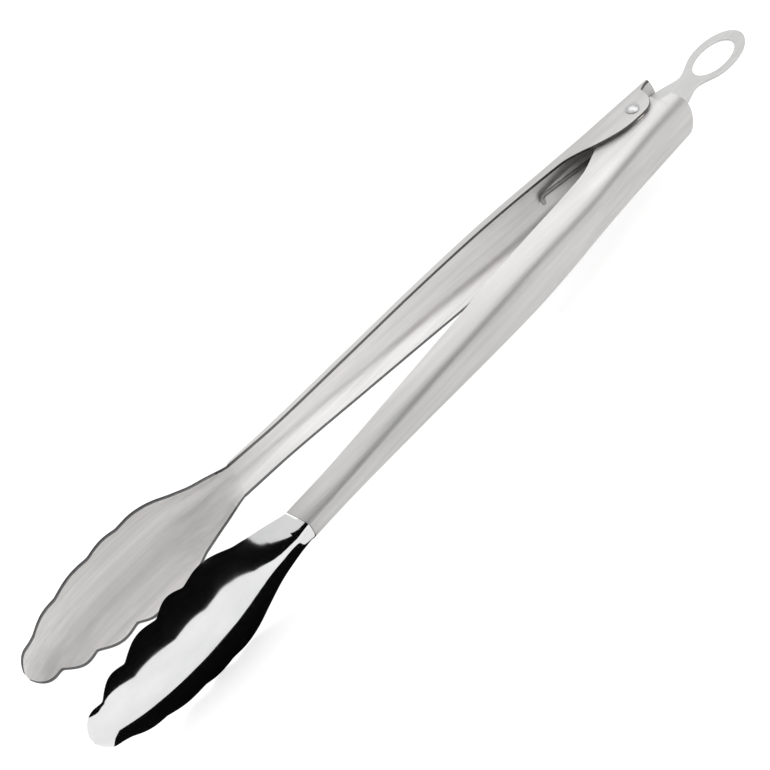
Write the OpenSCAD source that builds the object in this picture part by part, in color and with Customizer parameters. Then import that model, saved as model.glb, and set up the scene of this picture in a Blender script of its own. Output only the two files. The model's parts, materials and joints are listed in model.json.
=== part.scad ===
// Spring loaded locking kitchen tongs, laid on their side.
// X runs along the tongs to the jaw tips, Y is the way they open, and Z is the pivot axis.
// The arms are drawn about the pivot and moved once, in place(), to the middle of the resting face.

/* [Part] */
// which piece to draw

/* [Arms] */
// distance from the pivot to the jaw tips
pivot_to_tip = 253.4; // [230:0.1:280]
// angle of each arm from the closed position, with the lock tab pulled out
open_half = 3.65; // [2.5:0.05:4.5]
// sheet thickness of the handles
handle_sheet = 1.0; // [0.8:0.1:1.2]
// sheet thickness of the jaws
jaw_sheet = 0.8; // [0.6:0.1:1.0]
// where the jaw meets the handle, as a share of the arm
seam_at = 0.66; // [0.64:0.01:0.68]
// how far the front arm is narrower than the rear arm where it nests in it
nest = 1.9; // [1.8:0.1:2.1]
// how much deeper the front arm's back is near the pivot
deepen = 1.2; // [0.6:0.1:1.4]
// length of each arm behind the pivot
tail_len = 15.5; // [14:0.5:16.5]
// how far the pivot ears reach past the closing plane
ear_lap = 4.0; // [3.4:0.1:4.2]

/* [Jaws] */
// half width of the jaw between its scallops
jaw_half = 21.7; // [19:0.1:24]
// height of each scallop above its neighbours' valley
scallop = 1.9; // [1:0.1:2.5]
// depth of the jaw bowl
bowl_depth = 8.0; // [6:0.1:9]

/* [Pivot] */
// rivet diameter
pin_d = 3.0; // [2.6:0.1:3.4]
// rivet head diameter
pin_head_d = 4.5; // [4.2:0.1:5.2]
// rivet head height
pin_head_h = 1.1; // [0.8:0.1:1.3]

/* [Spring] */
// spring wire diameter
wire_d = 1.5; // [1.2:0.1:1.6]
// turns in the coil
coil_turns = 5; // [4:1:5]
// diameter of the coil at the wire centre
coil_d = 8.0; // [7.6:0.1:8.4]
// length of each spring leg from the pivot
leg_len = 36; // [30:0.5:40]

/* [Lock tab] */
// thickness of the tab plate
tab_t = 1.0; // [0.8:0.1:1.2]
// height of the plate centre above the middle of the pivot
tab_z = 1.5; // [1.4:0.1:2.4]
// how far the tab slides in to free the tails
tab_travel = 8; // [6:0.5:9]
// half width of the shoulders that stand between the tails
tab_shoulder = 6.5; // [6.2:0.1:6.8]
// half width of the neck below the ring
tab_neck = 3.4; // [3.1:0.1:4]
// length of the hanging eye
eye_len = 17.6; // [16:0.2:18.4]
// width of the hanging eye
eye_w = 9.8; // [9:0.2:10.6]

/* [Hidden] */
$fn = 48;

running_fit = 0.06;    // radial clearance of a shaft that turns or slides
clear = 0.05;          // end clearance of a turning face
seam_x = seam_at * pivot_to_tip;
seam_fade = 0.025;     // share of the arm over which the outside step at the seam dies out
half_outer = 12.8;     // half width of the rear arm's ears

// stations of the handle: share of the arm, gap from the closing plane to the mouth edge,
// distance from the closing plane to the back, half width at the mouth, half width of the back
HANDLE = [
    [-0.070, -0.90, 8.50, 12.80, 12.20],
    [ 0.000, -0.70, 8.40, 12.80, 12.20],
    [ 0.030, -0.14, 8.46, 12.80, 11.80],
    [ 0.060,  0.60, 8.60, 13.00, 11.10],
    [ 0.118,  2.10, 9.10, 13.30, 10.00],
    [ 0.237,  3.30, 9.50, 13.20,  9.30],
    [ 0.355,  3.60, 9.40, 12.00,  7.80],
    [ 0.474,  3.30, 8.90, 10.30,  6.00],
    [ 0.592,  3.00, 8.30,  8.70,  4.30],
    [ 0.660,  2.95, 8.10,  9.00,  3.80]
];

// stations of the jaw, with the same columns; the half width is that of the flare before the scallops
JAW = [
    [0.660, 2.95,  8.10,  9.00, 0.42],
    [0.690, 2.80,  8.40, 11.20, 0.28],
    [0.720, 2.55,  8.90, 13.90, 0.32],
    [0.746, 2.35,  9.60, 17.10, 0.37],
    [0.775, 2.20, 10.10, 20.20, 0.42],
    [0.801, 2.10, 10.20, 21.70, 0.44],
    [0.860, 1.80,  9.30, 21.70, 0.46],
    [0.920, 1.40,  7.10, 21.70, 0.50],
    [0.965, 0.75,  4.20, 21.70, 0.54],
    [1.000, 0.05,  1.10, 21.70, 0.60]
];
bowl_blend = 0.13;     // share of the arm over which the jaw turns from channel to bowl
widest_at = 0.801;     // where the jaw stops flaring and starts to round off
tip_power = 0.57;      // roundness of the jaw's plan toward the tip
flare_half = 21.7;     // half width the JAW table is written for
flare_depth = 8.1;     // bowl depth the JAW table is written for
tip_lobe = 2.7;        // height of the last lobe, at the tip
tip_lobe_end = 1.0058; // share of the arm where the last lobe would close
tip_lobe_skew = 1.3;   // leans the last lobe toward the tip

// valleys between the scallops, as shares of the arm
VALLEYS = [0.745, 0.818, 0.863, 0.920, 0.9643];

// how the front arm nests in the rear arm, along the arm
nest_from = 22;        // the front arm starts to widen here
nest_fade = 50;        // over this length
nest_back = 0.7;       // share of the narrowing that its back takes
deepen_from = 40;      // the front arm's back starts to come in here
deepen_fade = 90;      // over this length

// corner power of the sections: 2 is an ellipse, larger is squarer
corner_pivot = 4.2;
corner_seam = 6;
corner_reach = 90;     // length over which the corners turn square
corner_bowl = 2.4;

// lap of the pivot ears
ear_from = 3;          // the ear's edge starts to rise here
ear_to = 30;           // and has met the mouth line here
ear_round = 10.4;      // length of the rounded end of the ear
ear_trim = 0.6;        // the rounded end is cut off this much early, before it stands square
ear_end_gap = 4.0;     // own-side gap at the end of the ear
tail_lip_reach = 5;    // length over which the tail's lip opens
tail_lip_gap = 5.4;    // own-side gap at the end of the tail
tail_bow = 4.2;        // how far the tail's end is bowed out in the middle
seam_lean = 2.4;       // how much further toward the jaws the seam lies at the mouth edge
seam_reach = 12;       // length over which the lean dies out

// legs of the spring
leg_gap = 0.25;        // between a leg and the channel's floor
leg_rise = 3.8;        // how far the front leg climbs from the coil toward the middle
hook = 1.8;            // straight end of the hook
hook_r = 1.2;          // bend of the hook
hook_mid = 0.36;       // middle of the bend, measured from its corner

// resolution of the pressed sheet
handle_steps = 38;
tail_steps = 10;
flare_steps = 22;
tip_steps = 28;
half_section = 9;
coil_pts_per_turn = 16;
wire_sides = 12;

// pivot stack, in heights above the middle of the pivot
front_half = half_outer - nest;                     // outer half width of the front arm at the pivot
rear_inner = half_outer - handle_sheet;             // inner half width of the rear arm at the pivot
washer_t = rear_inner - front_half - clear;
washer_d = 7.4;
seat_room = 1;                                      // the seat in the rear ears is this much wider
bush_d = pin_d + 2.4;
spacer_d = bush_d + 1.5;
coil_top = tab_z - tab_t / 2 - wire_d / 2 - 0.3;    // height of the coil's upper wire centre
coil_pitch = wire_d + 0.15;
coil_bottom = coil_top - coil_turns * coil_pitch;
sleeve_top = front_half - handle_sheet - 0.25;      // the sleeves stop short of the ears' rounded inside
rivet_tail = 1.6;                                   // reach of the rivet past the far ear
rivet_washer_t = 0.8;
rivet_washer_d = pin_head_d + 1.2;

// lock tab, in distances behind the pivot unless named as lengths
ring_end = 50.5;       // reach of the ring
ring_x = 37.8;         // centre of the ring
ring_half = 7.2;       // half width of the ring
eye_x = 37.2;          // centre of the hanging eye
root_x = 31.5;         // where the neck runs into the ring
root_flare = 1.2;      // how much wider the neck is there
neck_x = 24.5;         // narrowest point of the neck
shoulder_x = 15;       // the shoulders' widest point
nose_len = 18;         // length of the full width body ahead of it
nose_taper = 6;        // length of the tapered nose
tip_x = pivot_to_tip * cos(open_half);

function smooth(u) = let (v = min(max(u, 0), 1)) v * v * (3 - 2 * v);
function mix(a, b, u) = a + (b - a) * u;

// value of one column of a station table, smoothly interpolated (Catmull-Rom)
function segment(table, x, i = 0) =
    i >= len(table) - 2 || x < table[i + 1][0] ? i : segment(table, x, i + 1);
function tangent(table, c, i) =
    let (a = max(i - 1, 0), b = min(i + 1, len(table) - 1))
    (table[b][c] - table[a][c]) / (table[b][0] - table[a][0]);
function station(table, c, x) =
    let (
        i = segment(table, x),
        w = table[i + 1][0] - table[i][0],
        u = (x - table[i][0]) / w,
        m0 = tangent(table, c, i) * w,
        m1 = tangent(table, c, i + 1) * w
    )
    (2 * u^3 - 3 * u^2 + 1) * table[i][c] + (u^3 - 2 * u^2 + u) * m0
    + (3 * u^2 - 2 * u^3) * table[i + 1][c] + (u^3 - u^2) * m1;

// mouth edge of the handle, with the pivot ear lapping the other arm
function ear_edge(x) =
    x > 0 ? -ear_lap
    : x > ear_trim - ear_round ? ear_end_gap - (ear_end_gap + ear_lap) * sqrt(1 - (x / ear_round)^2)
    : mix(ear_end_gap, tail_lip_gap, smooth((ear_trim - ear_round - x) / tail_lip_reach));
function handle_gap(x) =
    mix(ear_edge(x), station(HANDLE, 1, x / pivot_to_tip), smooth((x - ear_from) / (ear_to - ear_from)));

// the front arm nests in the rear arm: its mouth is narrower, and its back set further out
function nesting(x, narrow) = narrow * (1 - smooth((x - nest_from) / nest_fade));
function deepening(x, deeper) = deeper * (1 - smooth((x - deepen_from) / deepen_fade));

// height of the scallop above the valley line
crest_from = 0.715;    // share of the arm where the bowl starts to widen for the scallops
crest_blend = 0.06;    // over this share
tip_blend = 0.02;      // share of the arm over which the bowl's wall comes down to the tip's lobe
cut_share = 0.6;       // share of each scallop that is cut from the rim; the rest is pressed into the wall
first_scallop = 0.75;  // height of the first scallop, as a share of the others
lobe_power = 1.2;      // above 1 softens the valleys
function lobe(s, from, to, skew = 1) = sin(180 * ((s - from) / (to - from))^skew)^lobe_power;
function scallop_at(s) =
    let (last = len(VALLEYS) - 1, i = [for (k = [0 : last - 1]) if (s >= VALLEYS[k] && s < VALLEYS[k + 1]) k])
    s < VALLEYS[0] ? 0
    : len(i) == 0 ? tip_lobe * lobe(s, VALLEYS[last], tip_lobe_end, tip_lobe_skew)
    : scallop * (i[0] == 0 ? first_scallop : 1) * lobe(s, VALLEYS[i[0]], VALLEYS[i[0] + 1]);
// how far the bowl's smooth wall would stand over the scalloped rim that is cut from it
function cut_away(s) =
    cut_share * max(scallop * smooth((s - crest_from) / crest_blend) - scallop_at(s), 0)
    * (1 - smooth((s - VALLEYS[len(VALLEYS) - 1]) / tip_blend));
function jaw_plan(s) =
    let (u = max(s - widest_at, 0) / (1.0005 - widest_at))
    jaw_half / flare_half * station(JAW, 3, min(s, widest_at)) * (1 - u^2)^tip_power;

// a section is [x, gap, gap without the ears, back, half width at the mouth, half width of the back,
// corner power, sheet]
function handle_section(x, narrow, deeper) =
    let (s = x / pivot_to_tip)
    [x, handle_gap(x), station(HANDLE, 1, s), station(HANDLE, 2, s) + deepening(x, deeper),
     station(HANDLE, 3, s) - nesting(x, narrow), station(HANDLE, 4, s) - nest_back * nesting(x, narrow),
     mix(corner_pivot, corner_seam, smooth(x / corner_reach)), handle_sheet];
function jaw_section(s) =
    let (
        bowl = smooth((s - seam_at) / bowl_blend),
        step = (handle_sheet - jaw_sheet) * (1 - smooth((s - seam_at) / seam_fade)),
        gap = station(JAW, 1, s),
        depth = (station(JAW, 2, s) - gap) * mix(1, bowl_depth / flare_depth, bowl) - step,
        h = jaw_plan(s) + scallop_at(s) + cut_away(s),
        back = h * station(JAW, 4, s),
        rim = depth * cut_away(s) / (h - back)
    )
    [s * pivot_to_tip, gap + rim, gap, gap + depth, h - step, back - step,
     mix(corner_seam, corner_bowl, bowl), jaw_sheet];

// one side of the sheet in a section: inset is 0 for the outside and 1 for the inside
function skin(sec, inset) =
    let (
        slant = (sec[4] - sec[5]) / (sec[3] - sec[2]),
        rim = min(sec[7] * sqrt(1 + slant^2), 1.5, 0.5 * sec[4]) * inset,
        h = sec[4] - rim,
        d = sec[3] - sec[2] - sec[7] * inset,
        back = max(h - slant * d, 0.3 * h),
        first = (sec[1] - sec[2]) / d,
        p = sec[6]
    )
    [for (k = [-half_section : half_section])
        let (
            a = 90 - 90 * abs(k) / half_section,
            u = abs(k) == half_section ? first : first + (1 - first) * sin(a)^(2 / p),
            z = mix(h, back, max(u, 0)) * max(1 - max(u, 0)^p, 0)^(1 / p)
        )
        [sec[0], sec[2] + d * u, sign(k) * z]];
function ring(sec) =
    let (outside = skin(sec, 0), inside = skin(sec, 1), n = len(outside))
    concat(outside, [for (k = [0 : n - 1]) inside[n - 1 - k]]);

// the end of a tail is bowed: its middle reaches further than its walls
function bowed(p) =
    [p[0] + tail_bow * (p[2] / half_outer)^2 * smooth((-p[0] - 2) / (tail_len - 2)), p[1], p[2]];

// the seam leans: at the mouth edge it lies further toward the jaws than on the back
seam_gap = station(HANDLE, 1, seam_at);
seam_back = station(HANDLE, 2, seam_at);
function leaned(p) =
    let (u = (p[1] - seam_gap) / (seam_back - seam_gap))
    [p[0] + seam_lean * (1 - u) * (1 - smooth(abs(p[0] - seam_x) / seam_reach)), p[1], p[2]];
function leaned_ring(sec) = [for (p = ring(sec)) leaned(p)];

// closed skin through a row of equal rings
module loft(rings) {
    n = len(rings[0]);
    last = len(rings) - 1;
    half = n / 2;
    points = [for (r = rings) each r];
    sides = [for (i = [0 : last - 1], k = [0 : n - 1])
        let (a = i * n + k, b = i * n + (k + 1) % n)
        each [[a, a + n, b], [b, a + n, b + n]]];
    caps = [for (k = [0 : half - 2])
        let (o = last * n, m = n - 1 - k)
        each [[k, k + 1, m], [k + 1, m - 1, m],
              [o + k, o + m, o + k + 1], [o + k + 1, o + m, o + m - 1]]];
    polyhedron(points = points, faces = concat(sides, caps), convexity = 6);
}

// a handle in the closed position, on the +Y side
module handle_shell(narrow, deeper) {
    xs = concat(
        [for (i = [0 : tail_steps - 1]) -tail_len + i * tail_len / tail_steps],
        [for (i = [0 : handle_steps]) seam_x * (i / handle_steps)^1.15]
    );
    loft([for (x = xs) [for (p = leaned_ring(handle_section(x, narrow, deeper))) bowed(p)]]);
}

// a jaw in the closed position, on the +Y side
jaw_stations = concat(
    [for (i = [0 : flare_steps - 1]) mix(seam_at, widest_at, i / flare_steps)],
    [for (i = [0 : tip_steps]) mix(widest_at, 1, sin(90 * i / tip_steps))]
);
module jaw_shell() { loft([for (s = jaw_stations) leaned_ring(jaw_section(s))]); }

// swing an arm out to the rest opening, and mirror it for the rear arm
module front_side() { rotate([0, 0, open_half]) children(); }
module rear_side() { mirror([0, 1, 0]) rotate([0, 0, open_half]) children(); }

// move the pivot-centred tongs so that the origin is the middle of the resting face
jaw_peak = max([for (s = jaw_stations) jaw_plan(s) + scallop_at(s)]);
module place() { translate([(ring_end - tip_x) / 2, 0, jaw_peak]) children(); }

module bore(d) { cylinder(d = d, h = 4 * half_outer, center = true); }
module tube(outer, inner, low, high) {
    translate([0, 0, low]) difference() {
        cylinder(d = outer, h = high - low);
        translate([0, 0, -1]) cylinder(d = inner, h = high - low + 2);
    }
}

module front_handle() {
    color("silver") place() difference() {
        front_side() handle_shell(nest, deepen);
        bore(pin_d);
    }
}

module rear_handle() {
    color("lightgray") place() difference() {
        rear_side() handle_shell(0, 0);
        bore(pin_d + 2 * running_fit);
        cylinder(d = washer_d + seat_room, h = 2 * rear_inner, center = true);
    }
}

module front_jaw() { color("gainsboro") place() front_side() jaw_shell(); }

module rear_jaw() { color("whitesmoke") place() rear_side() jaw_shell(); }

// solid rivet: domed head on the near ear, tail swelled over the washer on the far ear
module pivot_pin() {
    head_r = pin_head_d / 2;
    cap_r = (head_r^2 + pin_head_h^2) / (2 * pin_head_h);
    top = half_outer + clear;
    head_sink = 0.1;       // the shank runs this far into the head
    color("lightsteelblue") place() union() {
        translate([0, 0, -half_outer - rivet_tail])
            cylinder(d = pin_d, h = rivet_tail + half_outer + top + head_sink);
        intersection() {
            translate([0, 0, top]) cylinder(r = head_r, h = pin_head_h);
            translate([0, 0, top + pin_head_h - cap_r]) sphere(r = cap_r);
        }
    }
}

module rivet_washer() {
    color("lightsteelblue") place()
        tube(rivet_washer_d, pin_d, -half_outer - clear - rivet_washer_t, -half_outer - clear);
}

module ear_washers() {
    color("white") place() union() {
        tube(washer_d, pin_d, front_half, front_half + washer_t);
        tube(washer_d, pin_d, -front_half - washer_t, -front_half);
    }
}

module spring_bush() {
    color("white") place()
        tube(bush_d, pin_d, -sleeve_top, tab_z - tab_t / 2 - clear);
}

module tab_spacer() {
    color("white") place()
        tube(spacer_d, pin_d, tab_z + tab_t / 2 + clear, sleeve_top);
}

// centre line of the spring: hooked end, front leg, coil, rear leg, hooked end
function floor_y(x, deeper) =
    x * tan(open_half) + (station(HANDLE, 2, x / pivot_to_tip) + deeper) / cos(open_half)
    - handle_sheet - wire_d / 2 - leg_gap;
function leg_point(x, deeper, side, z) = [x, side * floor_y(x, deeper), z];
coil_r = coil_d / 2;
leg_z = coil_bottom + leg_rise;
coil_points = coil_pts_per_turn * (coil_turns + 0.5);   // the legs leave from opposite sides
SPRING_PATH = concat(
    [leg_point(leg_len, deepen, 1, leg_z + hook + hook_r),
     leg_point(leg_len, deepen, 1, leg_z + hook_r),
     leg_point(leg_len - hook_mid, deepen, 1, leg_z + hook_mid),
     leg_point(leg_len - hook_r, deepen, 1, leg_z)],
    [for (i = [0 : coil_points])
        let (a = 90 + 360 * i / coil_pts_per_turn)
        [coil_r * cos(a), coil_r * sin(a), mix(coil_bottom, coil_top, i / coil_points)]],
    [leg_point(leg_len - hook_r, 0, -1, coil_top),
     leg_point(leg_len - hook_mid, 0, -1, coil_top - hook_mid),
     leg_point(leg_len, 0, -1, coil_top - hook_r),
     leg_point(leg_len, 0, -1, coil_top - hook - hook_r)]
);

// round wire along a path: each ring lies in the plane that halves the bend
function unit(v) = v / norm(v);
function wire_ring(path, i) =
    let (
        p = path[i],
        back = i == 0 ? unit(path[1] - p) : unit(p - path[i - 1]),
        ahead = i == len(path) - 1 ? back : unit(path[i + 1] - p),
        t = unit(back + ahead),
        side = unit(cross(t, [0.05, 0.02, 1])),
        up = cross(side, t)
    )
    [for (k = [0 : wire_sides - 1])
        let (a = 360 * k / wire_sides)
        p + wire_d / 2 * (cos(a) * side + sin(a) * up)];
module wire(path) {
    n = wire_sides;
    last = len(path) - 1;
    points = [for (i = [0 : last]) each wire_ring(path, i)];
    sides = [for (i = [0 : last - 1], k = [0 : n - 1])
        let (a = i * n + k, b = i * n + (k + 1) % n)
        each [[a, b, a + n], [b, b + n, a + n]]];
    polyhedron(
        points = points,
        faces = concat(sides, [[for (k = [0 : n - 1]) n - 1 - k]], [[for (k = [0 : n - 1]) last * n + k]]),
        convexity = 10
    );
}

module torsion_spring() { color("dimgray") place() wire(SPRING_PATH); }

// flat tab: slotted body between the tails, narrow neck, and an oval ring to hang it by
module ellipse(rx, ry) { scale([rx, ry]) circle(r = 1, $fn = 72); }
module tab_plate() {
    slot_w = pin_d + 2 * running_fit;
    nose_x = nose_len - shoulder_x;
    end_x = nose_x + nose_taper;
    root_half = tab_neck + root_flare;
    difference() {
        union() {
            translate([-ring_x, 0]) ellipse(ring_end - ring_x, ring_half);
            polygon([
                [-root_x, -root_half], [-neck_x, -tab_neck], [-shoulder_x, -tab_shoulder],
                [nose_x, -tab_shoulder], [end_x, -tab_neck], [end_x, tab_neck],
                [nose_x, tab_shoulder], [-shoulder_x, tab_shoulder], [-neck_x, tab_neck],
                [-root_x, root_half]
            ]);
        }
        translate([-eye_x, 0]) ellipse(eye_len / 2, eye_w / 2);
        translate([-tab_travel, -slot_w / 2]) square([tab_travel, slot_w]);
        circle(d = slot_w);
        translate([-tab_travel, 0]) circle(d = slot_w);
    }
}
module lock_tab() {
    color("silver") place()
        translate([0, 0, tab_z - tab_t / 2]) linear_extrude(height = tab_t) tab_plate();
}

front_handle();
front_jaw();
rear_handle();
rear_jaw();
pivot_pin();
rivet_washer();
ear_washers();
spring_bush();
tab_spacer();
torsion_spring();
lock_tab();
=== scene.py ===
"""Looks for the spring loaded kitchen tongs: smooth pressed arms, steels, nylon, light and camera.

The CAD model is the frame. The pressed sheet parts, the spring, the tab and the rivet are rebuilt here at
a finer resolution from the same few dimensions, and each one rides on the CAD body it belongs to.
"""

import json
import math

import bmesh
import bpy
import numpy as np
from mathutils import Matrix, Vector


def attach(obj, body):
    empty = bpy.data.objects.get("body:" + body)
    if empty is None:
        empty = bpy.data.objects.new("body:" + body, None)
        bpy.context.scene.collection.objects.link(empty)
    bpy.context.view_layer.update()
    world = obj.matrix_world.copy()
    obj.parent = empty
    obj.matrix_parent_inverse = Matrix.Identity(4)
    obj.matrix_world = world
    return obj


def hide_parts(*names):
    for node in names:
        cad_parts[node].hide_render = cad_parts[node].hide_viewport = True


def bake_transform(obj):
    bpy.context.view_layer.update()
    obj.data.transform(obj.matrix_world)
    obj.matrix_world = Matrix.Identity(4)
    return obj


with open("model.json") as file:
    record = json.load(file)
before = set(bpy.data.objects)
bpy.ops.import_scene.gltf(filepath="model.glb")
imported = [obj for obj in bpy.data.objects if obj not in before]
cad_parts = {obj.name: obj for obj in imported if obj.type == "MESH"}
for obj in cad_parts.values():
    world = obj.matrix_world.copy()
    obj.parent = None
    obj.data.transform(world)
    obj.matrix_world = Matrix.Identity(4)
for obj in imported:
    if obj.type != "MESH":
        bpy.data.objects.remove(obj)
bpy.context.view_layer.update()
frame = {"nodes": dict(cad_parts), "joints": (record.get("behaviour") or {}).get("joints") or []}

MM = 0.001
HINGE = next(j for j in frame["joints"] if j["type"] == "hinge")
PIVOT = Vector(HINGE["pos_m"])

# ---------------------------------------------------------------- dimensions, in mm about the pivot

PIVOT_TO_TIP = 253.4
OPEN_HALF = math.radians(3.65)
HANDLE_SHEET = 1.0
JAW_SHEET = 0.8
SEAM_AT = 0.66
SEAM_X = SEAM_AT * PIVOT_TO_TIP
NEST = 1.9
NEST_BACK = 0.7
DEEPEN = 1.2
TAIL_LEN = 15.5
EAR_LAP = 4.0
HALF_OUTER = 12.8
SCALLOP = 1.9
FLARE_DEPTH = 8.1
BOWL_DEPTH = 8.0
PIN_D = 3.0
PIN_HEAD_D = 4.5
PIN_HEAD_H = 1.1
WIRE_D = 1.5
COIL_TURNS = 5.5
COIL_R = 4.0
COIL_PITCH = 1.65
LEG_LEN = 36.0
LEG_GAP = 0.25
COIL_GAP = 0.3        # between the coil and the lock tab
LEG_RISE = 3.8
WIRE_END = 0.6        # height of the wire's rounded ends, as a share of its radius
HOOK = 1.8
HOOK_R = 1.2
TAB_T = 1.0
TAB_Z = 1.5
TAB_TRAVEL = 8.0
TAB_EDGE_ROUND = 0.18
TAB_CORNER = 2.2      # how far the tab's corners are eased
RING_ARC = 2.42       # angle of the ring's outline before the neck leaves it
RING_BLEND = 6        # points of the ring's outline that give way to the neck's curve
TAB_SHOULDER = 6.5
TAB_NECK = 3.4
RING_END = 50.5
RING_X = 37.8
RING_HALF = 7.2
EYE_X = 37.2
EYE_LEN = 17.6
EYE_W = 9.8
NECK_X = 24.5
SHOULDER_X = 15.0
NOSE_LEN = 18.0
NOSE_TAPER = 6.0
RUNNING_FIT = 0.06
CLEAR = 0.05
RIVET_TAIL = 1.6
RIVET_WASHER_T = 0.8
RIVET_WASHER_D = 5.7
EAR_HOLE_D = PIN_D + 2 * RUNNING_FIT
WASHER_SEAT_D = 8.4

# share of the arm, gap to the mouth edge, distance to the back, half width at the mouth and of the back
HANDLE = [
    (-0.070, -0.90, 8.50, 12.80, 12.20),
    (0.000, -0.70, 8.40, 12.80, 12.20),
    (0.030, -0.14, 8.46, 12.80, 11.80),
    (0.060, 0.60, 8.60, 13.00, 11.10),
    (0.118, 2.10, 9.10, 13.30, 10.00),
    (0.237, 3.30, 9.50, 13.20, 9.30),
    (0.355, 3.60, 9.40, 12.00, 7.80),
    (0.474, 3.30, 8.90, 10.30, 6.00),
    (0.592, 3.00, 8.30, 8.70, 4.30),
    (0.660, 2.95, 8.10, 9.00, 3.80),
]
JAW = [
    (0.660, 2.95, 8.10, 9.00, 0.42),
    (0.690, 2.80, 8.40, 11.20, 0.28),
    (0.720, 2.55, 8.90, 13.90, 0.32),
    (0.746, 2.35, 9.60, 17.10, 0.37),
    (0.775, 2.20, 10.10, 20.20, 0.42),
    (0.801, 2.10, 10.20, 21.70, 0.44),
    (0.860, 1.80, 9.30, 21.70, 0.46),
    (0.920, 1.40, 7.10, 21.70, 0.50),
    (0.965, 0.75, 4.20, 21.70, 0.54),
    (1.000, 0.05, 1.10, 21.70, 0.60),
]
WIDEST_AT = 0.801
TIP_POWER = 0.57
VALLEYS = (0.745, 0.818, 0.863, 0.920, 0.9643)
FIRST_SCALLOP = 0.75
LOBE_POWER = 1.2
TIP_LOBE = 2.7
TIP_LOBE_END = 1.0058
TIP_LOBE_SKEW = 1.3

EAR_FROM, EAR_TO = 3.0, 30.0
EAR_ROUND = 10.4
EAR_END_GAP = 4.0
TAIL_LIP_GAP = 5.4
TAIL_BOW = 4.2
SEAM_LEAN = 2.4
SEAM_REACH = 12.0
SEAM_FADE = 0.025
CREST_FROM, CREST_BLEND, TIP_BLEND = 0.715, 0.06, 0.02
CUT_SHARE = 0.6
BOWL_BLEND = 0.13
NEST_FROM, NEST_FADE = 22.0, 50.0
DEEPEN_FROM, DEEPEN_FADE = 40.0, 90.0
CORNER_PIVOT, CORNER_SEAM, CORNER_BOWL = 4.2, 6.0, 2.4
CORNER_REACH = 90.0
EAR_TRIM = 0.6
TAIL_LIP_REACH = 5.0

HANDLE_RINGS = 150
TAIL_RINGS = 26
JAW_RINGS = 190
SECTION = 44          # points from the back to a mouth edge
EDGE_ROUND = 0.22     # rounding of cut sheet edges
GROW = 0.0005         # keeps square roots off zero


def smooth(u):
    v = min(max(u, 0.0), 1.0)
    return v * v * (3 - 2 * v)


def mix(a, b, u):
    return a + (b - a) * u


def station(table, column, x):
    """One column of a station table at x, by a smooth curve through its rows."""
    rows = [(r[0], r[column]) for r in table]
    i = 0
    while i < len(rows) - 2 and x >= rows[i + 1][0]:
        i += 1
    width = rows[i + 1][0] - rows[i][0]
    u = (x - rows[i][0]) / width

    def tangent(k):
        a, b = max(k - 1, 0), min(k + 1, len(rows) - 1)
        return (rows[b][1] - rows[a][1]) / (rows[b][0] - rows[a][0]) * width

    return (
        (2 * u**3 - 3 * u**2 + 1) * rows[i][1]
        + (u**3 - 2 * u**2 + u) * tangent(i)
        + (3 * u**2 - 2 * u**3) * rows[i + 1][1]
        + (u**3 - u**2) * tangent(i + 1)
    )


SEAM_GAP = station(HANDLE, 1, SEAM_AT)
SEAM_BACK = station(HANDLE, 2, SEAM_AT)

# ---------------------------------------------------------------- sections of the pressed arms


def ear_edge(x):
    """Mouth edge near the pivot: the ears lap the other arm, and end in a rounded corner."""
    if x > 0:
        return -EAR_LAP
    if x > EAR_TRIM - EAR_ROUND:
        return EAR_END_GAP - (EAR_END_GAP + EAR_LAP) * math.sqrt(1 - (x / EAR_ROUND) ** 2)
    return mix(EAR_END_GAP, TAIL_LIP_GAP, smooth((EAR_TRIM - EAR_ROUND - x) / TAIL_LIP_REACH))


def handle_gap(x):
    mouth = station(HANDLE, 1, x / PIVOT_TO_TIP)
    return mix(ear_edge(x), mouth, smooth((x - EAR_FROM) / (EAR_TO - EAR_FROM)))


def handle_section(x, narrow, deeper):
    """(x, gap, gap without ears, back, half width at the mouth, of the back, corner power, sheet)."""
    s = x / PIVOT_TO_TIP
    nesting = narrow * (1 - smooth((x - NEST_FROM) / NEST_FADE))
    return (
        x,
        handle_gap(x),
        station(HANDLE, 1, s),
        station(HANDLE, 2, s) + deeper * (1 - smooth((x - DEEPEN_FROM) / DEEPEN_FADE)),
        station(HANDLE, 3, s) - nesting,
        station(HANDLE, 4, s) - NEST_BACK * nesting,
        mix(CORNER_PIVOT, CORNER_SEAM, smooth(x / CORNER_REACH)),
        HANDLE_SHEET,
    )


def scallop_at(s):
    if s < VALLEYS[0]:
        return 0.0
    for i, (a, b) in enumerate(zip(VALLEYS, VALLEYS[1:])):
        if a <= s < b:
            height = SCALLOP * (FIRST_SCALLOP if i == 0 else 1)
            return height * math.sin(math.pi * (s - a) / (b - a)) ** LOBE_POWER
    u = (s - VALLEYS[-1]) / (TIP_LOBE_END - VALLEYS[-1])
    return TIP_LOBE * math.sin(math.pi * u**TIP_LOBE_SKEW) ** LOBE_POWER


def cut_away(s):
    """How far the bowl's smooth wall would stand over the scalloped rim that is cut from it."""
    over = max(SCALLOP * smooth((s - CREST_FROM) / CREST_BLEND) - scallop_at(s), 0)
    return CUT_SHARE * over * (1 - smooth((s - VALLEYS[-1]) / TIP_BLEND))


def jaw_plan(s):
    u = max(s - WIDEST_AT, 0) / (1 + GROW - WIDEST_AT)
    return station(JAW, 3, min(s, WIDEST_AT)) * (1 - u * u) ** TIP_POWER


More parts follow.
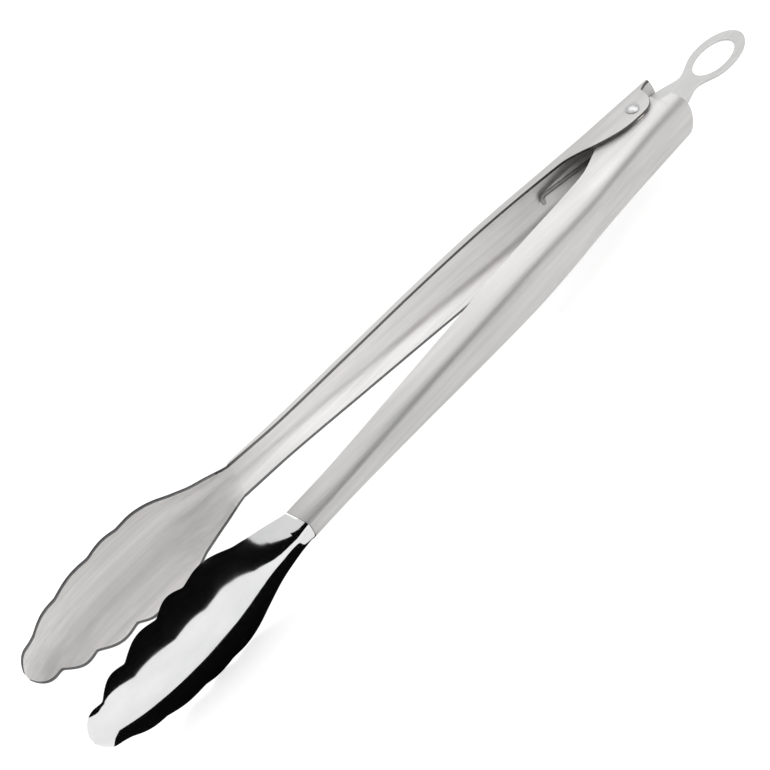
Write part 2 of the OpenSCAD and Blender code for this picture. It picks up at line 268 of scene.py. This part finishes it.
def jaw_section(s):
    bowl = smooth((s - SEAM_AT) / BOWL_BLEND)
    step = (HANDLE_SHEET - JAW_SHEET) * (1 - smooth((s - SEAM_AT) / SEAM_FADE))
    gap = station(JAW, 1, s)
    depth = (station(JAW, 2, s) - gap) * mix(1, BOWL_DEPTH / FLARE_DEPTH, bowl) - step
    half = jaw_plan(s) + scallop_at(s) + cut_away(s)
    back = half * station(JAW, 4, s)
    rim = gap + depth * cut_away(s) / (half - back)
    corner = mix(CORNER_SEAM, CORNER_BOWL, bowl)
    return (s * PIVOT_TO_TIP, rim, gap, gap + depth, half - step, back - step, corner, JAW_SHEET)


def skin(sec, inset):
    """Points of one side of the sheet, from one mouth edge over the back to the other."""
    x, gap, ref, back_y, mouth, back_half, power, sheet = sec
    slant = (mouth - back_half) / (back_y - ref)
    rim = min(sheet * math.sqrt(1 + slant**2), 1.5, 0.5 * mouth) * inset
    half = mouth - rim
    depth = back_y - ref - sheet * inset
    back = max(half - slant * depth, 0.3 * half)
    first = (gap - ref) / depth
    points = []
    for k in range(-SECTION, SECTION + 1):
        angle = math.pi / 2 * (1 - abs(k) / SECTION)
        u = first if abs(k) == SECTION else first + (1 - first) * math.sin(angle) ** (2 / power)
        z = mix(half, back, max(u, 0)) * max(1 - max(u, 0) ** power, 0) ** (1 / power)
        points.append((x, ref + depth * u, math.copysign(z, k) if k else 0.0))
    return points


def bowed(p):
    bow = TAIL_BOW * (p[2] / HALF_OUTER) ** 2 * smooth((-p[0] - 2) / (TAIL_LEN - 2))
    return (p[0] + bow, p[1], p[2])


def leaned(p):
    u = (p[1] - SEAM_GAP) / (SEAM_BACK - SEAM_GAP)
    lean = SEAM_LEAN * (1 - u) * (1 - smooth(abs(p[0] - SEAM_X) / SEAM_REACH))
    return (p[0] + lean, p[1], p[2])


def to_row(points, side):
    """Arm points (closed, about the pivot, mm) to the row frame at rest; side is 1 for the front arm."""
    turned = np.array(points, float)
    c, s = math.cos(OPEN_HALF), math.sin(OPEN_HALF)
    x = turned[:, 0] * c - turned[:, 1] * s
    y = (turned[:, 0] * s + turned[:, 1] * c) * side
    return np.stack([x, y, turned[:, 2]], 1) * MM + np.array(PIVOT)


# ---------------------------------------------------------------- mesh helpers


def at_pivot(points):
    """Points about the pivot in mm to the row frame."""
    return np.array(points, float) * MM + np.array(PIVOT)


def oval(centre, reach, half, count=96):
    turn = [2 * math.pi * k / count for k in range(count)]
    return [(centre + reach * math.cos(a), half * math.sin(a)) for a in turn]


def make_object(name, points, faces, groups=None):
    """A mesh object; groups gives each face's material index."""
    mesh = bpy.data.meshes.new(name)
    mesh.from_pydata([tuple(p) for p in points], [], faces)
    if groups:
        mesh.polygons.foreach_set("material_index", groups)
    mesh.update()
    bm = bmesh.new()
    bm.from_mesh(mesh)
    bmesh.ops.recalc_face_normals(bm, faces=bm.faces)
    bm.to_mesh(mesh)
    bm.free()
    obj = bpy.data.objects.new(name, mesh)
    bpy.context.scene.collection.objects.link(obj)
    return obj


def soften(obj, width, angle=40):
    """Smooth shading with small rounded edges wherever faces meet at more than the angle."""
    for p in obj.data.polygons:
        p.use_smooth = True
    bevel = obj.modifiers.new("edge_round", "BEVEL")
    bevel.width = width * MM
    bevel.segments = 2
    bevel.limit_method = "ANGLE"
    bevel.angle_limit = math.radians(angle)
    bevel.use_clamp_overlap = True
    bevel.harden_normals = True


def sheet_mesh(name, sections, shape, side):
    """A closed sheet lofted through sections: material 0 outside, 1 inside, 2 on the cut edges."""
    rings = []
    for sec in sections:
        outside = [shape(p) for p in skin(sec, 0)]
        inside = [shape(p) for p in skin(sec, 1)]
        rings.append(outside + inside)
    count = 2 * SECTION + 1
    points = to_row([p for r in rings for p in r], side)
    faces, groups = [], []

    def add(face, group):
        faces.append(face)
        groups.append(group)

    stride = 2 * count
    for i in range(len(rings) - 1):
        a, b = i * stride, (i + 1) * stride
        for k in range(count - 1):
            add((a + k, a + k + 1, b + k + 1, b + k), 0)
            add((a + count + k, b + count + k, b + count + k + 1, a + count + k + 1), 1)
        add((a, b, b + count, a + count), 2)
        add((a + count - 1, a + stride - 1, b + stride - 1, b + count - 1), 2)
    for base in (0, (len(rings) - 1) * stride):
        for k in range(count - 1):
            add((base + k, base + k + 1, base + count + k + 1, base + count + k), 2)
    return make_object(name, points, faces, groups)


def cut_round(obj, diameter, height):
    """Cut a round hole about the pivot axis; its wall joins the cut edges' material group."""
    sides = 64
    top = height / 2
    circle = oval(0, diameter / 2, diameter / 2, sides)
    points = at_pivot([(x, y, z) for z in (-top, top) for x, y in circle])
    faces = [(k, (k + 1) % sides, (k + 1) % sides + sides, k + sides) for k in range(sides)]
    faces += [tuple(range(sides)), tuple(range(sides, 2 * sides))]
    cutter = make_object("cutter", points, faces, [2] * len(faces))
    cut = obj.modifiers.new("bore", "BOOLEAN")
    cut.operation, cut.solver, cut.object = "DIFFERENCE", "EXACT", cutter
    graph = bpy.context.evaluated_depsgraph_get()
    mesh = bpy.data.meshes.new_from_object(obj.evaluated_get(graph))
    obj.modifiers.clear()
    obj.data = mesh
    bpy.data.objects.remove(cutter)


def handle_sections(narrow, deeper):
    tail = [-TAIL_LEN + i * TAIL_LEN / TAIL_RINGS for i in range(TAIL_RINGS)]
    rest = [SEAM_X * (i / HANDLE_RINGS) ** 1.15 for i in range(HANDLE_RINGS + 1)]
    return [handle_section(x, narrow, deeper) for x in tail + rest]


def jaw_sections():
    flare = [mix(SEAM_AT, WIDEST_AT, i / JAW_RINGS) for i in range(JAW_RINGS)]
    tip = [mix(WIDEST_AT, 1, math.sin(math.pi / 2 * i / JAW_RINGS)) for i in range(JAW_RINGS + 1)]
    return [jaw_section(s) for s in flare + tip]


def build_handle(name, node, side, narrow, deeper, body, hole, seat=0):
    obj = sheet_mesh(name, handle_sections(narrow, deeper), lambda p: bowed(leaned(p)), side)
    cut_round(obj, hole, 4 * HALF_OUTER)
    if seat:
        cut_round(obj, seat, 2 * (HALF_OUTER - HANDLE_SHEET))
    soften(obj, EDGE_ROUND)
    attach(obj, body)
    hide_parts(node)
    return obj


def build_jaw(name, node, side, body):
    obj = sheet_mesh(name, jaw_sections(), leaned, side)
    soften(obj, EDGE_ROUND)
    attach(obj, body)
    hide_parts(node)
    return obj


# ---------------------------------------------------------------- spring, tab and rivet


def floor_y(x, deeper):
    """Height of a spring leg over the closing plane where it lies on the channel's floor."""
    back = station(HANDLE, 2, x / PIVOT_TO_TIP) + deeper
    return x * math.tan(OPEN_HALF) + back / math.cos(OPEN_HALF) - HANDLE_SHEET - WIRE_D / 2 - LEG_GAP


def leg(side, deeper, coil_z, end_z, hook_turn):
    """One leg from its hooked tip in to the coil: a straight hook, a rounded bend and the straight leg."""
    y = side * floor_y(LEG_LEN, deeper)
    points = [(LEG_LEN, y, end_z + hook_turn * (HOOK_R + HOOK * (1 - i / 3))) for i in range(4)]
    for i in range(1, 9):
        a = math.pi / 2 * i / 8
        points.append(
            (LEG_LEN - HOOK_R * (1 - math.cos(a)), y, end_z + hook_turn * HOOK_R * (1 - math.sin(a)))
        )
    straight = LEG_LEN - HOOK_R
    for i in range(1, 40):
        u = i / 40
        points.append((straight * (1 - u), mix(y, side * COIL_R, u), mix(end_z, coil_z, u)))
    return points


def spring_path():
    """Centre line from the front leg's hook round the coil to the rear leg's hook."""
    top = TAB_Z - TAB_T / 2 - WIRE_D / 2 - COIL_GAP
    bottom = top - (COIL_TURNS - 0.5) * COIL_PITCH
    steps = int(COIL_TURNS * 48)
    coil = []
    for i in range(steps + 1):
        a = math.pi / 2 + 2 * math.pi * COIL_TURNS * i / steps
        coil.append((COIL_R * math.cos(a), COIL_R * math.sin(a), mix(bottom, top, i / steps)))
    return leg(1, DEEPEN, bottom, bottom + LEG_RISE, 1) + coil + leg(-1, 0, top, top, -1)[::-1]


def tube_along(name, path, radius, sides=20):
    """Round wire along a path, with rounded ends."""
    spine = [Vector(p) for p in path]
    rings = []
    side = Vector((0, 1, 0))
    for i, p in enumerate(spine):
        ahead = (spine[min(i + 1, len(spine) - 1)] - spine[max(i - 1, 0)]).normalized()
        side = (side - ahead * side.dot(ahead)).normalized()
        rings.append((p, ahead, side.copy()))
    first, last = rings[0], rings[-1]
    reach = radius * WIRE_END
    dome = [(math.sin(a), math.cos(a)) for a in (math.radians(d) for d in (80, 60, 40, 20))]
    sized = [(first[0] - first[1] * s * reach, first[1], first[2], c) for s, c in dome]
    sized += [(*r, 1.0) for r in rings]
    sized += [(last[0] + last[1] * s * reach, last[1], last[2], c) for s, c in reversed(dome)]
    points, faces = [], []
    for p, ahead, side, scale in sized:
        up = ahead.cross(side)
        for k in range(sides):
            a = 2 * math.pi * k / sides
            points.append(p + (side * math.cos(a) + up * math.sin(a)) * radius * scale)
    for i in range(len(sized) - 1):
        for k in range(sides):
            a, b = i * sides + k, i * sides + (k + 1) % sides
            faces.append((a, b, b + sides, a + sides))
    faces.append(tuple(range(sides))[::-1])
    faces.append(tuple(range((len(sized) - 1) * sides, len(sized) * sides)))
    obj = make_object(name, at_pivot(points), faces)
    for f in obj.data.polygons:
        f.use_smooth = True
    return obj


def build_spring():
    obj = tube_along("torsion_spring_wire", spring_path(), WIRE_D / 2)
    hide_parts("torsion_spring")
    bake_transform(obj)
    return obj


def turned(name, profile, sides=72):
    """A closed solid turned about the pivot from (radius, height) points, in order round the outline."""
    points, faces = [], []
    count = len(profile)
    for k in range(sides):
        a = 2 * math.pi * k / sides
        points += [(r * math.cos(a), r * math.sin(a), z) for r, z in profile]
    for k in range(sides):
        a, b = k * count, (k + 1) % sides * count
        for i in range(count):
            j = (i + 1) % count
            faces.append((a + i, a + j, b + j, b + i))
    obj = make_object(name, at_pivot(points), faces)
    bm = bmesh.new()
    bm.from_mesh(obj.data)
    bmesh.ops.remove_doubles(bm, verts=bm.verts, dist=1e-7)
    bmesh.ops.dissolve_degenerate(bm, edges=bm.edges, dist=1e-7)
    bmesh.ops.recalc_face_normals(bm, faces=bm.faces)
    bm.to_mesh(obj.data)
    bm.free()
    return obj


def build_rivet():
    """Shank, domed head with a small flat rim, and a rounded tail."""
    r, head = PIN_D / 2, PIN_HEAD_D / 2
    base = HALF_OUTER + CLEAR
    rim = 0.2
    cap = (head**2 + (PIN_HEAD_H - rim) ** 2) / (2 * (PIN_HEAD_H - rim))
    centre = base + PIN_HEAD_H - cap
    low = -HALF_OUTER - RIVET_TAIL
    profile = [(0, low), (r - 0.4, low), (r - 0.12, low + 0.12), (r, low + 0.4), (r, base)]
    profile += [(head - 0.08, base), (head, base + 0.08)]
    for i in range(13):
        x = head * (1 - i / 12)
        profile.append((x, centre + math.sqrt(cap**2 - x**2)))
    obj = turned("pivot_rivet", profile)
    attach(obj, "front_arm")
    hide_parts("pivot_pin")
    soften(obj, 0.05)
    return obj


def build_rivet_washer():
    r, outer = PIN_D / 2, RIVET_WASHER_D / 2
    top = -HALF_OUTER - CLEAR
    low = top - RIVET_WASHER_T
    obj = turned("rivet_washer_ring", [(r, low), (outer, low), (outer, top), (r, top)])
    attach(obj, "front_arm")
    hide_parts("rivet_washer")
    soften(obj, 0.12)
    return obj


def slot_loop(length, width, count=24):
    """A slot from the pivot back toward the ring, with round ends."""
    r = width / 2
    ahead = [(r * math.cos(a), r * math.sin(a)) for a in np.linspace(-math.pi / 2, math.pi / 2, count)]
    behind = [(-x - length, -y) for x, y in ahead]
    return ahead + behind


def rounded(points, radius, steps=8):
    """Each corner of an open path eased by a curve that starts radius before it and ends radius after."""
    path = [Vector(points[0])]
    for before, corner, after in zip(points, points[1:], points[2:]):
        p, q, r = Vector(before), Vector(corner), Vector(after)
        a = q + (p - q).normalized() * min(radius, (p - q).length * 0.45)
        b = q + (r - q).normalized() * min(radius, (r - q).length * 0.45)
        for k in range(steps + 1):
            u = k / steps
            path.append(a * (1 - u) ** 2 + q * 2 * u * (1 - u) + b * u**2)
    return path + [Vector(points[-1])]


def tab_outline():
    """Outer outline of the lock tab: the ring, and the neck, shoulders and nose on both flanks."""
    nose_x = NOSE_LEN - SHOULDER_X
    ring_reach = RING_END - RING_X
    sweep = np.linspace(0, RING_ARC, 40)
    ring = [(-RING_X - ring_reach * math.cos(a), RING_HALF * math.sin(a)) for a in sweep]
    flank = ring[-1:] + [(-NECK_X, TAB_NECK), (-SHOULDER_X, TAB_SHOULDER), (nose_x, TAB_SHOULDER)]
    flank += [(nose_x + NOSE_TAPER, TAB_NECK), (nose_x + NOSE_TAPER, 0)]
    eased = rounded([ring[-RING_BLEND]] + flank, TAB_CORNER)
    upper = ring[:-RING_BLEND] + [tuple(v) for v in eased][1:-1]
    lower = [(x, -y) for x, y in reversed(upper[1:])]
    return upper + lower


def edge_profile():
    """(inset, height) round a sheet edge from its top face to its bottom face."""
    arc = [math.radians(d) for d in (0, 30, 60, 90)]
    flat = TAB_T / 2 - TAB_EDGE_ROUND
    top = [(TAB_EDGE_ROUND * (1 - math.sin(a)), flat + TAB_EDGE_ROUND * math.cos(a)) for a in arc]
    return top + [(inset, -z) for inset, z in reversed(top)]


def build_tab():
    """Flat plate with rounded edges round its outline, its hanging eye and its slot."""
    bm = bmesh.new()
    slot_w = PIN_D + 2 * RUNNING_FIT
    eye = oval(-EYE_X, EYE_LEN / 2, EYE_W / 2)
    loops = [(tab_outline(), 1), (eye, -1), (slot_loop(TAB_TRAVEL, slot_w), -1)]
    caps = ([], [])
    for loop, inward in loops:
        flat = [Vector(p) for p in loop]
        area = sum(a.x * b.y - b.x * a.y for a, b in zip(flat, flat[1:] + flat[:1]))
        turn = inward * (1 if area > 0 else -1)
        rings = []
        for inset, z in edge_profile():
            ring = []
            for k, p in enumerate(flat):
                along = (flat[(k + 1) % len(flat)] - flat[k - 1]).normalized()
                q = p + Vector((-along.y, along.x)) * inset * turn
                ring.append(bm.verts.new(at_pivot([(q.x, q.y, TAB_Z + z)])[0]))
            rings.append(ring)
        for a, b in zip(rings, rings[1:]):
            for k in range(len(flat)):
                n = (k + 1) % len(flat)
                face = bm.faces.new((a[k], a[n], b[n], b[k]))
                face.smooth = True
        for cap, ring in ((caps[0], rings[0]), (caps[1], rings[-1])):
            cap += [bm.edges.get((ring[k - 1], ring[k])) for k in range(len(ring))]
    for cap in caps:
        bmesh.ops.triangle_fill(bm, use_beauty=True, use_dissolve=False, edges=cap)
    bmesh.ops.recalc_face_normals(bm, faces=bm.faces)
    mesh = bpy.data.meshes.new("lock_tab_plate")
    bm.to_mesh(mesh)
    bm.free()
    obj = bpy.data.objects.new("lock_tab_plate", mesh)
    bpy.context.scene.collection.objects.link(obj)
    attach(obj, "tab")
    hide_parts("lock_tab")
    return obj


# ---------------------------------------------------------------- materials


class Nodes:
    """A material's node tree, with short calls to add and join nodes."""

    def __init__(self, name):
        self.material = bpy.data.materials.new(name)
        self.material.use_nodes = True
        self.tree = self.material.node_tree
        self.tree.nodes.clear()
        self.out = self.tree.nodes.new("ShaderNodeOutputMaterial")
        self.bsdf = self.tree.nodes.new("ShaderNodeBsdfPrincipled")
        self.join(self.bsdf.outputs["BSDF"], self.out.inputs["Surface"])
        self.where = self.tree.nodes.new("ShaderNodeTexCoord").outputs["Object"]

    def join(self, a, b):
        self.tree.links.new(a, b)

    def stretched(self, scale):
        node = self.tree.nodes.new("ShaderNodeMapping")
        node.inputs["Scale"].default_value = scale
        self.join(self.where, node.inputs["Vector"])
        return node.outputs["Vector"]

    def noise(self, vector, scale=1.0, detail=4.0, roughness=0.55):
        node = self.tree.nodes.new("ShaderNodeTexNoise")
        node.inputs["Scale"].default_value = scale
        node.inputs["Detail"].default_value = detail
        node.inputs["Roughness"].default_value = roughness
        self.join(vector, node.inputs["Vector"])
        return node.outputs["Fac"]

    def ranged(self, value, low, high, start=0.3, end=0.7):
        node = self.tree.nodes.new("ShaderNodeMapRange")
        node.inputs["From Min"].default_value = start
        node.inputs["From Max"].default_value = end
        node.inputs["To Min"].default_value = low
        node.inputs["To Max"].default_value = high
        self.join(value, node.inputs["Value"])
        return node.outputs["Result"]

    def colours(self, value, a, b, start=0.3, end=0.7):
        node = self.tree.nodes.new("ShaderNodeValToRGB")
        node.color_ramp.elements[0].position = start
        node.color_ramp.elements[0].color = (*a, 1)
        node.color_ramp.elements[1].position = end
        node.color_ramp.elements[1].color = (*b, 1)
        self.join(value, node.inputs["Fac"])
        return node.outputs["Color"]

    def bump(self, height, strength, distance, under=None):
        node = self.tree.nodes.new("ShaderNodeBump")
        node.inputs["Strength"].default_value = strength
        node.inputs["Distance"].default_value = distance
        self.join(height, node.inputs["Height"])
        if under is not None:
            self.join(under, node.inputs["Normal"])
        return node.outputs["Normal"]


def satin_steel(name, light, dark, rough, along=(30, 2600, 2600)):
    """Lengthwise brushed stainless: fine lines, broader streaks and faint warm patches."""
    n = Nodes(name)
    lines = n.noise(n.stretched(along), detail=3)
    streaks = n.noise(n.stretched((14, 420, 420)), detail=3)
    patches = n.noise(n.stretched((16, 40, 40)), detail=2)
    n.join(n.colours(streaks, light, dark), n.bsdf.inputs["Base Color"])
    n.join(n.ranged(patches, rough - 0.06, rough + 0.06), n.bsdf.inputs["Roughness"])
    fine = n.bump(lines, 0.6, 0.00008)
    n.join(n.bump(streaks, 0.4, 0.00015, fine), n.bsdf.inputs["Normal"])
    n.bsdf.inputs["Metallic"].default_value = 1.0
    return n.material


def polished_steel(name):
    """Buffed mirror steel with faint swirls and hairline scratches."""
    n = Nodes(name)
    haze = n.noise(n.stretched((60, 90, 90)), detail=3)
    hairs = n.noise(n.stretched((60, 1800, 1800)), detail=2)
    n.join(n.colours(haze, (0.67, 0.67, 0.67), (0.60, 0.60, 0.605)), n.bsdf.inputs["Base Color"])
    n.join(n.ranged(haze, 0.045, 0.085), n.bsdf.inputs["Roughness"])
    n.join(n.bump(hairs, 0.04, 0.00003), n.bsdf.inputs["Normal"])
    n.bsdf.inputs["Metallic"].default_value = 1.0
    return n.material


def edge_steel(name, tone):
    """Sheared and tumbled edge of the sheet."""
    n = Nodes(name)
    nicks = n.noise(n.stretched((700, 700, 700)), detail=3)
    n.join(n.colours(nicks, (tone,) * 3, (tone * 0.85,) * 3), n.bsdf.inputs["Base Color"])
    n.join(n.ranged(nicks, 0.22, 0.36), n.bsdf.inputs["Roughness"])
    n.join(n.bump(nicks, 0.2, 0.00004), n.bsdf.inputs["Normal"])
    n.bsdf.inputs["Metallic"].default_value = 1.0
    return n.material


def wire_steel(name):
    """Dark drawn spring wire, with fine die lines and a thin film of oil."""
    n = Nodes(name)
    film = n.noise(n.stretched((500, 500, 500)), detail=4)
    n.join(n.colours(film, (0.30, 0.30, 0.30), (0.42, 0.41, 0.40)), n.bsdf.inputs["Base Color"])
    n.join(n.ranged(film, 0.25, 0.42), n.bsdf.inputs["Roughness"])
    n.join(n.bump(film, 0.2, 0.00003), n.bsdf.inputs["Normal"])
    n.bsdf.inputs["Metallic"].default_value = 1.0
    return n.material


def nylon(name):
    """Natural moulded nylon."""
    n = Nodes(name)
    grain = n.noise(n.stretched((900, 900, 900)), detail=4)
    n.join(n.colours(grain, (0.80, 0.78, 0.70), (0.72, 0.70, 0.62)), n.bsdf.inputs["Base Color"])
    n.join(n.ranged(grain, 0.45, 0.6), n.bsdf.inputs["Roughness"])
    n.join(n.bump(grain, 0.15, 0.00003), n.bsdf.inputs["Normal"])
    return n.material


def paint(obj, *materials):
    """Materials in the order of the mesh's face groups; a CAD node has only one group."""
    for i, m in enumerate(materials):
        if i < len(obj.data.materials):
            obj.data.materials[i] = m
        else:
            obj.data.materials.append(m)


# ---------------------------------------------------------------- build the object

HANDLE_STEEL = satin_steel("handle_satin", (0.57, 0.560, 0.552), (0.48, 0.476, 0.47), 0.50)
# painted light: the inside of the handles and jaws is the handle's satin steel painted about half again as
# light, to lift the shade in the channels and bowls
LIFTED_INNER_STEEL = satin_steel("inner_satin_painted_light", (0.84, 0.828, 0.815), (0.70, 0.692, 0.685), 0.46)
JAW_STEEL = polished_steel("jaw_polished")
# painted shade: the cut sheet edges are steel painted near black, drawing dark lines along the arms' edges
SHADED_EDGE_STEEL = edge_steel("sheet_edge_painted_shade", 0.14)
TAB_STEEL = satin_steel("tab_satin", (0.52, 0.52, 0.515), (0.46, 0.46, 0.455), 0.36, (900, 900, 900))
RIVET_STEEL = edge_steel("rivet_bright", 0.52)
WIRE_STEEL = wire_steel("spring_wire")
NYLON = nylon("white_nylon")

front_handle = build_handle("front_handle_sheet", "front_handle", 1, NEST, DEEPEN, "front_arm", PIN_D)
rear_handle = build_handle(
    "rear_handle_sheet", "rear_handle", -1, 0, 0, "rear_arm", EAR_HOLE_D, WASHER_SEAT_D
)
front_jaw = build_jaw("front_jaw_sheet", "front_jaw", 1, "front_arm")
rear_jaw = build_jaw("rear_jaw_sheet", "rear_jaw", -1, "rear_arm")
for handle in (front_handle, rear_handle):
    paint(handle, HANDLE_STEEL, LIFTED_INNER_STEEL, SHADED_EDGE_STEEL)
for jaw in (front_jaw, rear_jaw):
    paint(jaw, JAW_STEEL, LIFTED_INNER_STEEL, SHADED_EDGE_STEEL)

paint(build_spring(), WIRE_STEEL)
paint(build_tab(), TAB_STEEL)
paint(build_rivet(), RIVET_STEEL)
paint(build_rivet_washer(), RIVET_STEEL)

for node, material in (
    ("ear_washers", NYLON),
    ("spring_bush", NYLON),
    ("tab_spacer", NYLON),
):
    paint(frame["nodes"][node], material)

# ---------------------------------------------------------------- floor, light and camera


def make_floor():
    reach = 3.0
    corners = [(-reach, -reach, 0), (reach, -reach, 0), (reach, reach, 0), (-reach, reach, 0)]
    mesh = bpy.data.meshes.new("floor")
    mesh.from_pydata(corners, [], [(0, 1, 2, 3)])
    floor = bpy.data.objects.new("floor", mesh)
    bpy.context.scene.collection.objects.link(floor)
    n = Nodes("floor_white")
    grain = n.noise(n.stretched((40, 40, 40)), detail=2)
    n.join(n.colours(grain, (0.60, 0.60, 0.60), (0.58, 0.58, 0.58)), n.bsdf.inputs["Base Color"])
    n.bsdf.inputs["Roughness"].default_value = 0.9
    n.bsdf.inputs["Specular IOR Level"].default_value = 0.1
    n.bsdf.inputs["Emission Color"].default_value = (1, 1, 1, 1)
    n.bsdf.inputs["Emission Strength"].default_value = 0.5
    floor.data.materials.append(n.material)
    return floor


def area_light(name, place, aim, size, power):
    light = bpy.data.lights.new(name, "AREA")
    light.shape = "RECTANGLE"
    light.size, light.size_y = size
    light.energy = power
    obj = bpy.data.objects.new(name, light)
    obj.location = place
    obj.rotation_mode = "QUATERNION"
    obj.rotation_quaternion = (Vector(aim) - Vector(place)).to_track_quat("-Z", "Y")
    bpy.context.scene.collection.objects.link(obj)
    return obj


def make_world(strength):
    world = bpy.data.worlds.new("studio")
    world.use_nodes = True
    world.node_tree.nodes["Background"].inputs["Color"].default_value = (1, 1, 1, 1)
    world.node_tree.nodes["Background"].inputs["Strength"].default_value = strength
    bpy.context.scene.world = world


def make_camera():
    """The view from in front and above: a long lens, rolled so that the tips point down left."""
    right = Vector((-0.68780, 0.67495, -0.26716))
    up = Vector((-0.67976, -0.46975, 0.56326))
    back = right.cross(up)
    data = bpy.data.cameras.new("camera")
    data.lens, data.sensor_width = 89.742, 36.0
    data.clip_start, data.clip_end = 0.05, 20
    cam = bpy.data.objects.new("camera", data)
    turn = Matrix((right, up, back)).transposed()
    cam.matrix_world = Matrix.Translation(PIVOT + Vector((265.705, 331.098, 455.501)) * MM) @ turn.to_4x4()
    bpy.context.scene.collection.objects.link(cam)
    bpy.context.scene.camera = cam


def black_card(name, corners):
    """A black card seen only in reflections, so that it draws dark bands on the polished steel: the belts
    are studio flags, the card under the jaws is painted shade.
    """
    mesh = bpy.data.meshes.new(name)
    mesh.from_pydata([tuple(c) for c in corners], [], [tuple(range(len(corners)))])
    card = bpy.data.objects.new(name, mesh)
    bpy.context.scene.collection.objects.link(card)
    n = Nodes(name + "_black")
    n.bsdf.inputs["Base Color"].default_value = (0.004, 0.004, 0.004, 1)
    n.bsdf.inputs["Roughness"].default_value = 1.0
    n.bsdf.inputs["Specular IOR Level"].default_value = 0.0
    card.data.materials.append(n.material)
    card.visible_camera = False
    card.visible_diffuse = False
    card.visible_shadow = False
    return card


make_floor()
make_world(1.0)
area_light("top_softbox", (-0.1, -0.25, 1.2), (0, 0, 0), (1.4, 1.2), 5)
area_light("left_softbox", (-0.55, 0.48, 0.95), (0, 0, 0.02), (0.9, 0.9), 2.2)
BELT_LEFT, BELT_RIGHT = -0.8, 0.6
BELT_NEAR, BELT_FAR = 0.17, 0.6
black_card(
    "belt_low",
    [
        (BELT_LEFT, BELT_NEAR, 0.001),
        (BELT_RIGHT, BELT_NEAR, 0.001),
        (BELT_RIGHT, BELT_FAR, 0.001),
        (BELT_LEFT, BELT_FAR, 0.001),
    ],
)
black_card(
    "belt_high",
    [
        (BELT_LEFT, BELT_FAR, 0.001),
        (BELT_RIGHT, BELT_FAR, 0.001),
        (BELT_RIGHT, BELT_FAR, 0.36),
        (-0.08, BELT_FAR, 0.36),
        (-0.19, BELT_FAR, 0.11),
        (BELT_LEFT, BELT_FAR, 0.11),
    ],
)
# painted shade: this black card, seen only in reflections, stands in for the shadow on the floor beneath
# the jaws
black_card(
    "under_jaws_painted_shade",
    [(0.062, 0.008, 0.0006), (0.15, 0.004, 0.0006), (0.15, 0.030, 0.0006), (0.062, 0.046, 0.0006)],
)
make_camera()
bpy.context.scene.view_settings.view_transform = "Standard"
